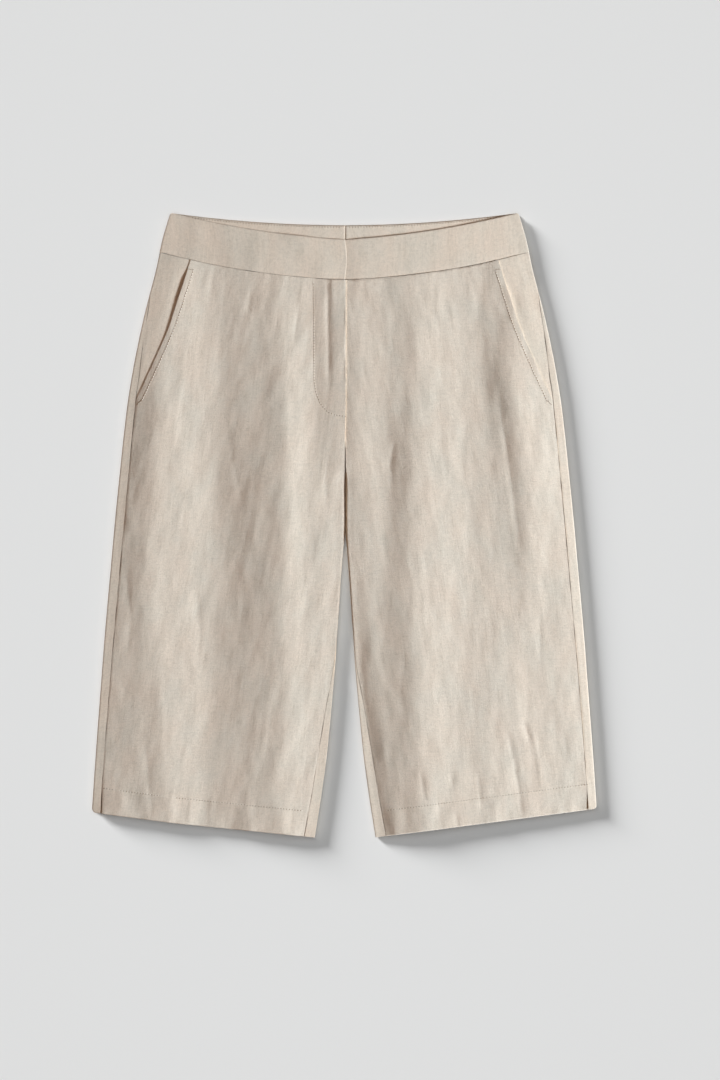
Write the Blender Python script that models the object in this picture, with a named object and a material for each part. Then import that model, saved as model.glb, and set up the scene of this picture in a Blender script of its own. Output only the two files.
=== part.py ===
"""Women's bermuda shorts in linen, laid flat on a surface with the front side up.

Sizes are in millimetres and become metres where a mesh is made. +Y runs to the waist, +Z up from the
surface, and +X to the wearer's left. The origin is under the middle of the garment. Each panel is a wall
of cloth: a grid of points on its outer face, and the same grid one cloth thickness further in.
"""

import math
from collections import namedtuple

import bmesh
import bpy
import numpy as np

MM = 0.001

# Cloth
CLOTH = 1.2            # one layer of the linen
TURNED = 2.0           # the hem and the waistband, which are doubled
SEAM_GAP = 0.3         # between neighbouring pieces
LAYER_AIR = 0.8        # between a front and the piece of cloth that it laps
LAYER = CLOTH + LAYER_AIR
BAND_LAYER = TURNED + SEAM_GAP

# The flat garment
EDGE_HEIGHT = 5.0      # across the folded side
FOLD_RADIUS = EDGE_HEIGHT / 2
QUARTER = FOLD_RADIUS * math.pi / 2
EDGE_FADE = 15.0       # the folded edge eases into the panel over this width
LEG_TOP = 4.6          # usual height of the front panels' upper face
HEM_CALM = 0.4         # share of a soft fold that the stiffer hem takes away
BAND_TOP = 5.0         # the same for the front of the waistband
HEM_RISE = 1.0         # the doubled hems lift the front by this much
RIPPLE = 1.4           # height of the largest soft folds
BAND_RIPPLE = 0.3
CENTRE = 0.8           # X of the centre seams

# Waist, hem, fly
WAIST_SIDE_X = 189.0   # where the waist seam reaches the folded side
BAND_SIDE_X = 185.0    # and the middle of the waistband
HEM_DEPTH = 27.0
HEM_INNER_X = 31.0
HEM_OUTER_X = 259.0
HEM_INNER_Y = -320.7
HEM_SLOPE = 0.1303
LAP_EDGE_X = 1.6
UNDERLAP_X = -28.0
BAND_UNDERLAP_X = -30.0
UNDERLAP_Y = 150.0     # the underlap is full width above this
FLY_FOOT_Y = 92.0
LAP_REACH = 18.0       # the lapping cloth stays lifted this far past the hidden edge
LAP_FADE = 22.0        # and comes down over this width
SLIT_TOP_Y = 51.0      # the front edges roll under below this
SLIT_EASE = 6.0
CROTCH_Y = -15.0       # the back edges roll up below this
CROTCH_EASE = 8.0

# Hip pocket
POCKET_FOOT_Y = 128.0
POCKET_UNDER = 28.0    # how far the hip piece reaches under the front

WaistCurve = namedtuple("WaistCurve", "centre_y slope bend")
FRONT_SEAM = WaistCurve(251.9, 0.03, 0.00063)
FRONT_EDGE = WaistCurve(293.0, 0.06, 0.00053)
BACK_SEAM = WaistCurve(267.0, 0.0, 0.00036)
BACK_EDGE = WaistCurve(308.0, 0.0, 0.0004)

Outer = namedtuple("Outer", "y outline side_seam")
OUTER_ROWS = [         # half width, and how far the side seam lies inside it
    Outer(322.0, 179.8, 0.0),
    Outer(292.0, 187.0, 0.0),
    Outer(257.0, 194.3, 0.0),
    Outer(241.0, 198.8, 0.3),
    Outer(195.0, 210.0, 3.0),
    Outer(128.0, 222.2, 8.0),
    Outer(72.0, 228.6, 9.0),
    Outer(10.0, 234.9, 9.5),
    Outer(-51.0, 240.4, 9.5),
    Outer(-113.0, 246.0, 9.5),
    Outer(-175.0, 250.7, 9.0),
    Outer(-236.0, 255.3, 8.8),
    Outer(-292.0, 259.0, 8.5),
]

Inner = namedtuple("Inner", "y outline inseam")
INNER_ROWS = [         # half gap between the legs, and how far the inseam lies inside the leg's edge
    Inner(60.0, 0.15, 0.0),
    Inner(41.0, 1.3, 0.0),
    Inner(15.0, 0.8, 0.0),
    Inner(-20.0, 1.6, 0.0),
    Inner(-51.0, 4.0, 0.0),
    Inner(-113.0, 8.0, 0.0),
    Inner(-134.0, 9.3, 0.4),
    Inner(-175.0, 12.9, 4.5),
    Inner(-223.0, 17.2, 8.5),
    Inner(-262.0, 22.1, 9.5),
    Inner(-321.0, 31.2, 11.0),
]

Opening = namedtuple("Opening", "y x")
POCKET_ROWS = [        # the slanted opening, half width
    Opening(276.0, 156.5),
    Opening(257.0, 163.0),
    Opening(222.0, 174.0),
    Opening(194.0, 183.5),
    Opening(169.0, 195.0),
    Opening(141.0, 209.0),
    Opening(128.0, 214.0),
]

Fold = namedtuple("Fold", "waist_x hem_x half_width height top_y foot_y")
FOLD_EASE = 40.0       # a soft fold fades in and out over twice this length
FOLDS = [              # soft folds down the front, ridges up and troughs down
    Fold(-186.0, -196.0, 26.0, 0.9, 300.0, -330.0),
    Fold(-118.0, -138.0, 36.0, -0.9, 330.0, -330.0),
    Fold(-62.0, -74.0, 28.0, 0.9, 270.0, -330.0),
    Fold(8.0, 10.0, 15.0, 0.6, 200.0, -60.0),
    Fold(42.0, 60.0, 20.0, -0.6, 200.0, -330.0),
    Fold(66.0, 94.0, 22.0, 0.8, 290.0, -330.0),
    Fold(138.0, 162.0, 27.0, -0.9, 290.0, -300.0),
    Fold(184.0, 202.0, 17.0, 0.8, 260.0, -330.0),
]

# Rows of points: levels down the leg, which turn to the slope of the hem from the pocket's foot on
HEM_LEVEL = HEM_INNER_Y + HEM_SLOPE * (HEM_OUTER_X - HEM_INNER_X) / 2
LEVEL_TOP = 240.0
TILT_FOOT_Y = -262.0
HEM_STEP = 1.0         # half the width of the step where the turned-up hem ends inside
LEVELS = [LEVEL_TOP, 222.0, 204.0, 166.0, POCKET_FOOT_Y, FLY_FOOT_Y, 57.0, 44.0, 15.0, -8.0, -23.0,
          -51.0, -92.0, -134.0, -175.0, -223.0, TILT_FOOT_Y,
          HEM_LEVEL + HEM_DEPTH + HEM_STEP, HEM_LEVEL + HEM_DEPTH - HEM_STEP, HEM_LEVEL]
FRONT_COLUMNS = 9
BACK_COLUMNS = 5
ARC_STEPS = 6
EDGE_STEPS = (0.0, 0.8, 2.2, 3.9)  # the first columns in from an edge
FIRST_BEND = 0.4       # from the edge of a back panel to its first bend, at least
BAND_ROWS = 4
BAND_COLUMNS = 11
HIP_COLUMNS = 5

LINEN = (0.60, 0.53, 0.44)
LINEN_INSIDE = (0.56, 0.49, 0.41)


def clear_scene():
    for old in list(bpy.data.objects):
        bpy.data.objects.remove(old, do_unlink=True)


def make_linen(name, colour):
    material = bpy.data.materials.new(name)
    material.use_nodes = True
    shader = material.node_tree.nodes["Principled BSDF"]
    shader.inputs["Base Color"].default_value = (*colour, 1.0)
    shader.inputs["Roughness"].default_value = 0.9
    shader.inputs["Metallic"].default_value = 0.0
    return material


def ease(low, high, value):
    """0 below low, 1 above high, smooth between."""
    share = min(1.0, max(0.0, (value - low) / (high - low)))
    return share * share * (3 - 2 * share)


def reading(rows, column):
    """A smooth curve through one column of a table, as a function of y."""
    ys = np.array([row.y for row in rows][::-1])
    values = np.array([getattr(row, column) for row in rows][::-1])
    slopes = np.gradient(values, ys)

    def at(y):
        y = min(max(y, ys[0]), ys[-1])
        i = min(int(np.searchsorted(ys, y, side="right")) - 1, len(ys) - 2)
        width = ys[i + 1] - ys[i]
        t = (y - ys[i]) / width
        start = (2 * t**3 - 3 * t**2 + 1) * values[i] + (t**3 - 2 * t**2 + t) * width * slopes[i]
        end = (3 * t**2 - 2 * t**3) * values[i + 1] + (t**3 - t**2) * width * slopes[i + 1]
        return float(start + end)

    return at


outline = reading(OUTER_ROWS, "outline")
side_seam = reading(OUTER_ROWS, "side_seam")
leg_gap = reading(INNER_ROWS, "outline")
inseam = reading(INNER_ROWS, "inseam")
pocket_edge = reading(POCKET_ROWS, "x")


def waist_y(curve, x):
    x = min(abs(x), WAIST_SIDE_X)
    return curve.centre_y + curve.slope * x + curve.bend * x * x


def hem_line(x):
    reach = min(max(abs(x), HEM_INNER_X), HEM_OUTER_X) - HEM_INNER_X
    return HEM_INNER_Y + HEM_SLOPE * reach


def hem_share(x, y):
    """1 in the turned-up hem, 0 above it."""
    return 1 - ease(HEM_DEPTH - HEM_STEP, HEM_DEPTH + HEM_STEP, y - hem_line(x))


def wall(x, y):
    return CLOTH + (TURNED - CLOTH) * hem_share(x, y)


def ripple(x, y):
    total = 0.0
    for fold in FOLDS:
        along = (y - hem_line(x)) / (waist_y(FRONT_SEAM, x) - hem_line(x))
        middle = fold.hem_x + (fold.waist_x - fold.hem_x) * along
        below = ease(fold.foot_y - FOLD_EASE, fold.foot_y + FOLD_EASE, y)
        above = 1 - ease(fold.top_y - FOLD_EASE, fold.top_y + FOLD_EASE, y)
        total += fold.height * below * above * math.exp(-(((x - middle) / fold.half_width) ** 2))
    return math.tanh(total)


def leg_top(x, y):
    """Upper face of one layer of front cloth."""
    near_hem = 1 - ease(HEM_DEPTH, 4 * HEM_DEPTH, y - hem_line(x))
    return LEG_TOP + HEM_RISE * near_hem + RIPPLE * (1 - HEM_CALM * near_hem) * ripple(x, y)


def pocket_cover(x, y):
    """1 where the front lies on the hip piece."""
    reach = abs(x) - pocket_edge(y) + POCKET_UNDER + LAP_REACH
    return ease(-LAP_FADE, 0.0, reach) * ease(POCKET_FOOT_Y - LAP_FADE, POCKET_FOOT_Y, y)


def lap_cover(x, y):
    """1 where the right front lies on the left front's underlap."""
    reach = x - UNDERLAP_X + LAP_REACH
    return ease(-LAP_FADE, 0.0, reach) * ease(FLY_FOOT_Y - LAP_FADE, FLY_FOOT_Y, y)


def fold_point(arc):
    """Distance in from the outline, and height, at an arc length up (+) or down (-) from its edge."""
    angle = min(max(arc / FOLD_RADIUS, -math.pi / 2), math.pi / 2)
    flat = max(0.0, abs(arc) - QUARTER)
    return FOLD_RADIUS * (1 - math.cos(angle)) + flat, FOLD_RADIUS * (1 + math.sin(angle))


def arc_at(inset):
    """Arc length at which the fold's surface lies this far in from the outline."""
    inset = max(0.0, inset)
    if inset < FOLD_RADIUS:
        return FOLD_RADIUS * math.acos(1 - inset / FOLD_RADIUS)
    return QUARTER + inset - FOLD_RADIUS


def row_lines(seam, levels=LEVELS):
    """The rows of a leg panel, each as y over x: the waist seam, half way to the top level, the levels."""
    def level_line(level):
        tilt = min(1.0, max(0.0, (POCKET_FOOT_Y - level) / (POCKET_FOOT_Y - TILT_FOOT_Y)))
        return lambda x: level + tilt * (hem_line(x) - HEM_LEVEL)

    def top_line(x):
        return waist_y(seam, x) - SEAM_GAP / 2

    def second_line(x):
        return (top_line(x) + LEVEL_TOP) / 2

    return [top_line, second_line] + [level_line(level) for level in levels]


def crossings(lines, places):
    """The grid of points where the rows cross the columns; a column gives x and z at a y."""
    grid = []
    for line in lines:
        row = []
        for place in places:
            y = line(0.0)
            for _ in range(8):
                y = line(place(y)[0])
            x, z = place(y)
            row.append((x, y, z))
        grid.append(row)
    return np.array(grid)


def blended(height, inset, surface, rolled=1.0):
    """Height of a rounded edge that eases into the surface; rolled is 0 where the edge is flat."""
    if inset < FOLD_RADIUS:
        return surface + rolled * (height - surface)
    share = rolled * (1 - ease(FOLD_RADIUS, FOLD_RADIUS + EDGE_FADE, inset))
    return surface + share * (EDGE_HEIGHT - surface)


def front_lift(side, x, y):
    """How far the front lies above a single layer, over the hip piece and the underlap."""
    cover = pocket_cover(x, y)
    if side < 0:
        cover = max(cover, lap_cover(x, y))
    return LAYER * cover


def front_inner_x(side, y):
    """X of the front panel's inner edge: underlap, lap, centre seam or rolled edge."""
    edge = CENTRE + side * leg_gap(y)
    if y <= FLY_FOOT_Y:
        return edge
    if side < 0:
        return LAP_EDGE_X
    share = min(1.0, (y - FLY_FOOT_Y) / (UNDERLAP_Y - FLY_FOOT_Y))
    return edge + (UNDERLAP_X - edge) * share


def front_edge_inset(y):
    """How far the front panel's outer edge lies inside the outline: pocket opening, then side seam."""
    return outline(y) - pocket_edge(y) if y > POCKET_FOOT_Y else side_seam(y)


def from_outer(side, y, arc):
    """x and z of the single layer that comes up round the outer fold."""
    inset, height = fold_point(arc)
    x = side * (outline(y) - inset)
    return x, blended(height, inset, leg_top(x, y)) if arc > 0 else height


def from_inner(side, y, arc, rolled):
    """Like from_outer, at the inner edge, where rolled goes from a flat edge (0) to a rounded one (1)."""
    inset, height = fold_point(arc)
    inset = arc + rolled * (inset - arc)
    x = front_inner_x(side, y) + side * inset
    return x, blended(height, inset, leg_top(x, y), rolled)


def rolled_at(y):
    """1 where the fronts roll under along the slit and down the inner leg, 0 along the fly."""
    return 1 - ease(SLIT_TOP_Y - SLIT_EASE, SLIT_TOP_Y + SLIT_EASE, y)


def front_panel(side):
    def outer_place(step):
        def place(y):
            start = arc_at(front_edge_inset(y)) + SEAM_GAP / 2
            return from_outer(side, y, start + step)
        return place

    def inner_place(step):
        def place(y):
            rolled = rolled_at(y)
            start = arc_at(inseam(y)) + SEAM_GAP / 2 * rolled
            return from_inner(side, y, start + step, rolled)
        return place

    def middle_place(part):
        def place(y):
            first = outer_place(EDGE_STEPS[-1])(y)[0]
            last = inner_place(EDGE_STEPS[-1])(y)[0]
            x = first + (last - first) * part
            inset_in = abs(x - front_inner_x(side, y))
            surface = blended(EDGE_HEIGHT, inset_in, leg_top(x, y), rolled_at(y))
            return x, blended(EDGE_HEIGHT, outline(y) - abs(x), surface)
        return place

    places = [outer_place(step) for step in EDGE_STEPS]
    places += [middle_place(part) for part in np.linspace(0, 1, FRONT_COLUMNS + 2)[1:-1]]
    places += [inner_place(step) for step in EDGE_STEPS[::-1]]
    grid = crossings(row_lines(FRONT_SEAM), places)
    for point in grid.reshape(-1, 3):
        point[2] += front_lift(side, point[0], point[1])
    return grid


def back_panel(side):
    def arcs(inset):
        """Arc lengths from a seam on the front, round the fold and down to the flat back."""
        start = arc_at(inset) - SEAM_GAP / 2
        return [start] + list(np.linspace(min(QUARTER, start - FIRST_BEND), -QUARTER, ARC_STEPS + 1))

    def curl_at(y):
        """1 down the leg, where the inner edge rolls up, 0 along the centre-back seam."""
        return 1 - ease(CROTCH_Y - CROTCH_EASE, CROTCH_Y + CROTCH_EASE, y)

    def inner_x(y):
        return CENTRE + side * (SEAM_GAP / 2 + curl_at(y) * (leg_gap(y) - SEAM_GAP / 2))

    def outer_place(k):
        return lambda y: from_outer(side, y, arcs(side_seam(y))[k])

    def inner_place(k):
        def place(y):
            arc = arcs(inseam(y))[k]
            inset, height = fold_point(arc)
            if arc > 0:
                height = blended(height, inset, leg_top(inner_x(y) + side * inset, y))
            flat_inset = FOLD_RADIUS * k / (ARC_STEPS + 1)
            inset = flat_inset + curl_at(y) * (inset - flat_inset)
            return inner_x(y) + side * inset, height * curl_at(y)
        return place

    def middle_place(part):
        def place(y):
            first = side * (outline(y) - FOLD_RADIUS)
            last = inner_x(y) + side * FOLD_RADIUS
            return first + (last - first) * part, 0.0
        return place

    count = ARC_STEPS + 2
    places = [outer_place(k) for k in range(count)]
    places += [middle_place(part) for part in np.linspace(0, 1, BACK_COLUMNS + 2)[1:-1]]
    places += [inner_place(k) for k in range(count)[::-1]]
    return crossings(row_lines(BACK_SEAM), places)


def hip_piece(side):
    def outer_place(step):
        def place(y):
            start = arc_at(side_seam(y)) + SEAM_GAP / 2
            return from_outer(side, y, start + step)
        return place

    def middle_place(part):
        def place(y):
            first = abs(outer_place(EDGE_STEPS[-1])(y)[0])
            x = side * (first + (pocket_edge(y) - POCKET_UNDER - first) * part)
            return x, blended(EDGE_HEIGHT, outline(y) - abs(x), leg_top(x, y))
        return place

    places = [outer_place(step) for step in EDGE_STEPS]
    places += [middle_place(part) for part in np.linspace(0, 1, HIP_COLUMNS + 1)[1:]]
    levels = [level for level in LEVELS if level > POCKET_FOOT_Y] + [POCKET_FOOT_Y + SEAM_GAP]
    return crossings(row_lines(FRONT_SEAM, levels), places)


def band_top(side, x, y):
    lap = BAND_LAYER * ease(BAND_UNDERLAP_X - LAP_FADE, BAND_UNDERLAP_X, x) if side < 0 else 0.0
    return BAND_TOP + BAND_RIPPLE * ripple(x, y) + lap


def waistband(side):
    """From the lap or underlap round the side to the centre-back seam."""
    start_x = LAP_EDGE_X if side < 0 else BAND_UNDERLAP_X

    def y_at(x, share, lift):
        """lift is 1 on the front, 0 on the back and between them round the side."""
        front = waist_y(FRONT_SEAM, x) * (1 - share) + waist_y(FRONT_EDGE, x) * share
        back = waist_y(BACK_SEAM, x) * (1 - share) + waist_y(BACK_EDGE, x) * share
        return back + (front - back) * lift

    grid = []
    for share in np.linspace(0.0, 1.0, BAND_ROWS):
        clear = SEAM_GAP / 2 * (1 - share)
        row = []
        side_x = outline(y_at(BAND_SIDE_X, share, 0.5)) - FOLD_RADIUS
        for part in np.linspace(0, 1, BAND_COLUMNS + 1)[:-1]:
            x = start_x + (side * side_x - start_x) * part
            y = y_at(x, share, 1.0) + clear
            z = blended(EDGE_HEIGHT, outline(y) - abs(x), band_top(side, x, y))
            row.append((x, y, z))
        for arc in np.linspace(QUARTER, -QUARTER, ARC_STEPS + 1):
            inset, height = fold_point(arc)
            x = side * (side_x + FOLD_RADIUS - inset)
            row.append((x, y_at(x, share, height / EDGE_HEIGHT) + clear, height))
        for part in np.linspace(0, 1, BACK_COLUMNS + 2)[1:]:
            x = side * side_x + (CENTRE + side * SEAM_GAP / 2 - side * side_x) * part
            row.append((x, y_at(x, share, 0.0) + clear, 0.0))
        grid.append(row)
    return np.array(grid)


def outward(grid, facing):
    """Unit normals of a grid of points."""
    across = np.gradient(grid, axis=1, edge_order=2)
    down = np.gradient(grid, axis=0)
    normal = facing * np.cross(across, down)
    return normal / np.linalg.norm(normal, axis=2, keepdims=True)


def add_cloth(name, grid, facing, thickness, material):
    """A closed wall of cloth whose outer face is the grid."""
    rows, columns = grid.shape[:2]
    deep = np.array([[thickness(x, y) for x, y, _ in row] for row in grid])
    inside = grid - outward(grid, facing) * deep[..., None]
    points = np.concatenate([grid.reshape(-1, 3), inside.reshape(-1, 3)]) * MM
    under = rows * columns
    faces = []
    for r in range(rows - 1):
        for c in range(columns - 1):
            a = r * columns + c
            quad = (a, a + 1, a + columns + 1, a + columns)
            faces.append(quad)
            faces.append(tuple(under + k for k in quad[::-1]))
    rim = [c for c in range(columns)]
    rim += [r * columns + columns - 1 for r in range(1, rows)]
    rim += [(rows - 1) * columns + c for c in range(columns - 2, -1, -1)]
    rim += [r * columns for r in range(rows - 2, 0, -1)]
    for a, b in zip(rim, rim[1:] + rim[:1]):
        faces.append((b, a, under + a, under + b))
    mesh = bpy.data.meshes.new(name)
    mesh.from_pydata([tuple(p) for p in points], [], faces)
    shell = bmesh.new()
    shell.from_mesh(mesh)
    bmesh.ops.recalc_face_normals(shell, faces=shell.faces)
    shell.to_mesh(mesh)
    shell.free()
    mesh.shade_smooth()
    mesh.set_sharp_from_angle(angle=math.radians(50))
    mesh.materials.append(material)
    cloth = bpy.data.objects.new(name, mesh)
    bpy.context.collection.objects.link(cloth)
    return cloth


def build():
    clear_scene()
    linen = make_linen("linen", LINEN)
    inside = make_linen("linen_pocket", LINEN_INSIDE)
    single = lambda x, y: CLOTH
    doubled = lambda x, y: TURNED
    for side, wearer in ((-1, "right"), (1, "left")):
        add_cloth(f"front_{wearer}", front_panel(side), side, wall, linen)
        add_cloth(f"back_{wearer}", back_panel(side), -side, wall, linen)
        add_cloth(f"hip_pocket_{wearer}", hip_piece(side), side, single, inside)
        add_cloth(f"waistband_{wearer}", waistband(side), side, doubled, linen)


build()
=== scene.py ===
import math

import bpy
import numpy as np
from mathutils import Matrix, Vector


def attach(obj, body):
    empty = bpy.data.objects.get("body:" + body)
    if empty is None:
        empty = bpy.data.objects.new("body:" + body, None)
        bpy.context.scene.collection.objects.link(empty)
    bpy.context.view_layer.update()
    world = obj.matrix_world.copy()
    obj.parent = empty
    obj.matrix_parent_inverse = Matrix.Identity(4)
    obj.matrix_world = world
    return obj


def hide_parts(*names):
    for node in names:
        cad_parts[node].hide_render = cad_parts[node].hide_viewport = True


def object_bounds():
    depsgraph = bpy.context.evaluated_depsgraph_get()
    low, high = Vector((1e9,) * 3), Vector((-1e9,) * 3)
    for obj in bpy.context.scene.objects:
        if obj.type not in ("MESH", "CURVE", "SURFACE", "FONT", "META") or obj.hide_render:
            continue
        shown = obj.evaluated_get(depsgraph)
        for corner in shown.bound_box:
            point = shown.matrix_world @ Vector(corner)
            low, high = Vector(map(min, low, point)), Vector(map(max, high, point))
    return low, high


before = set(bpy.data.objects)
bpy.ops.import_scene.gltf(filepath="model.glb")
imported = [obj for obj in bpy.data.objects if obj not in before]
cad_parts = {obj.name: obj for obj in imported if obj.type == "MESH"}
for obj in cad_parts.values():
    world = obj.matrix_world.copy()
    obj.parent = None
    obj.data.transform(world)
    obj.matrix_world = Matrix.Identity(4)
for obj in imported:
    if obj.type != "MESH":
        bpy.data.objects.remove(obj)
cadLow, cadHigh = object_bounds()
mm = 0.001

# Sizes are in millimetres. +X is the wearer's left, +Y the waist, +Z up from the floor.
view = {"height": 3000, "frameHeight": 1110, "right": 16.0, "up": -15.4}
cut = {
    "seenAbove": 3.2,     # the upper layer of the waistband lies above this
    "seenBelow": 2.2,     # and the lower one below this
    "step": 2.0,          # between two readings of a solid's edge
    "calm": 8.0,          # how far a reading is smoothed
    "wall": 1.2,
    "turnedWall": 2.0,
    "seamGap": 0.3,
    "foldRadius": 3.0,    # at the folded sides
    "tuck": 4,            # how far the back is laid in below a fold
    "pressed": 5.0,       # how square the iron left them; 2 is a half circle
    "layer": 1.8,         # from one layer of cloth up to the next
    "lapLayer": 1.35,     # the same where the fly laps over
    "hemDepth": 27.0,
    "hemCorners": (4.5, 3.5),  # rounding at the outer end, right leg and left
    "hemSag": 3.8,        # how much lower the right leg's hem ends
    "lapX": 1.6,          # the folded fly edge
    "lapFoot": 60.0,      # above this the inner edges are cut, below they roll under
    "slitTop": 51.0,      # where the fly edge comes apart from the left front
    "pocketFoot": 128.0,
    "crotch": -15.0,
    "gapBlend": (-40, -25),  # where the gap between the legs turns into the slit
    "seamInset": 1.3,     # the side seam lies this much further in at the hip
    "seamHip": (132, 156),
    "seamOnFold": (222, 246),  # where it comes out from the folded edge
}


def addObject(name, data):
    thing = bpy.data.objects.new(name, data)
    bpy.context.scene.collection.objects.link(thing)
    return thing


def makeCamera():
    camera = bpy.data.cameras.new("camera")
    camera.sensor_width = 36
    camera.lens = camera.sensor_width * view["height"] / view["frameHeight"]
    camera.clip_end = 20
    middle = (cadLow + cadHigh) / 2
    standing = addObject("camera", camera)
    standing.location = (middle.x + view["right"] * mm, middle.y + view["up"] * mm, view["height"] * mm)
    bpy.context.scene.camera = standing


makeCamera()


# The cut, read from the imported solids
def cornersOf(names):
    found = []
    for name in names:
        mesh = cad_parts[name].data
        mesh.calc_loop_triangles()
        points = np.empty(len(mesh.vertices) * 3, np.float32)
        mesh.vertices.foreach_get("co", points)
        ends = np.empty(len(mesh.loop_triangles) * 3, np.int32)
        mesh.loop_triangles.foreach_get("vertices", ends)
        found.append(points.reshape(-1, 3)[ends.reshape(-1, 3)] / mm)
    return np.concatenate(found)


def crossing(corners, axis, level):
    starts = corners.reshape(-1, 3)
    ends = np.roll(corners, -1, axis=1).reshape(-1, 3)
    before = starts[:, axis] - level
    after = ends[:, axis] - level
    crossed = before * after < 0
    share = (before[crossed] / (before[crossed] - after[crossed]))[:, None]
    return starts[crossed] + (ends[crossed] - starts[crossed]) * share


def bell(width):
    reach = np.arange(-int(3 * width) - 1, int(3 * width) + 2)
    weights = np.exp(-0.5 * (reach / width) ** 2)
    return weights / weights.sum()


def calmed(values, width):
    weights = bell(width)
    padded = np.pad(values, len(weights) // 2, mode="reflect", reflect_type="odd")
    return np.convolve(padded, weights, "valid")


# An edge of those solids as a smooth curve, carried straight on past both ends
def edgeOf(names, axis, first, last, pick):
    corners = cornersOf(names)
    places = np.arange(first, last, cut["step"]) + 0.013  # so that no reading meets a corner
    values = np.array([pick(crossing(corners, axis, level)) for level in places])
    slopeOver = 8
    beyond = np.arange(1, 41)
    startSlope = (values[slopeOver] - values[0]) / slopeOver
    endSlope = (values[-1] - values[-1 - slopeOver]) / slopeOver
    values = np.concatenate([values[0] - startSlope * beyond[::-1], values, values[-1] + endSlope * beyond])
    places = places[0] + cut["step"] * (np.arange(len(values)) - len(beyond))
    values = calmed(values, cut["calm"] / cut["step"])
    return lambda at: np.interp(at, places, values)


def farX(points):
    return points[:, 0].max()


def nearX(points):
    return points[:, 0].min()


def farY(points):
    return points[:, 1].max()


def nearY(points):
    return points[:, 1].min()


def upperFarY(points):
    return farY(points[points[:, 2] > cut["seenAbove"]])


def lowerFarY(points):
    return farY(points[points[:, 2] < cut["seenBelow"]])


# Each edge: the solids, the axis it runs along, from and to, and which side of them it is
legNodes = ["back_left", "front_left", "hip_pocket_left", "waistband_left"]
outline = edgeOf(legNodes, 1, -288, 318, farX)
seamRead = edgeOf(["front_left", "hip_pocket_left"], 1, -288, 268, farX)
pocketEdge = edgeOf(["front_left"], 1, 134, 264, farX)
legEdge = edgeOf(["back_left"], 1, -314, -28, nearX)
leftInner = edgeOf(["front_left"], 1, -314, 246, nearX)
rightInner = edgeOf(["front_right"], 1, -314, 246, farX)
slitLeft = edgeOf(["front_left"], 1, -314, 88, nearX)
slitRight = edgeOf(["front_right"], 1, -314, 88, farX)
frontSeam = edgeOf(["front_left", "hip_pocket_left"], 0, 5, 185, farY)
backSeam = edgeOf(["back_left"], 0, 5, 185, farY)
bandFrontTop = edgeOf(["waistband_left"], 0, 5, 176, upperFarY)
bandBackTop = edgeOf(["waistband_left"], 0, 5, 176, lowerFarY)
hemLine = edgeOf(["front_left"], 0, 46, 246, nearY)
centreX = float((slitLeft(0) + slitRight(0)) / 2)
print("cut read from the solids")


def ease(low, high, value):
    share = np.clip((value - low) / (high - low), 0, 1)
    return share * share * (3 - 2 * share)


def sideSeam(y):  # it comes out from the folded edge a little below the waistband
    inset = np.maximum(0, outline(y) - seamRead(y)) + cut["seamInset"] * ease(*cut["seamHip"], y)
    return outline(y) - inset * (1 - ease(*cut["seamOnFold"], y))


def gapAt(y):  # half the gap between the legs, or half the slit above it
    leg = legEdge(y) - centreX
    slit = (slitLeft(y) - slitRight(y)) / 2
    low, high = cut["gapBlend"]
    return np.where(y < low, leg, np.where(y > high, slit, slit + (leg - slit) * (high - y) / (high - low)))


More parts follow.
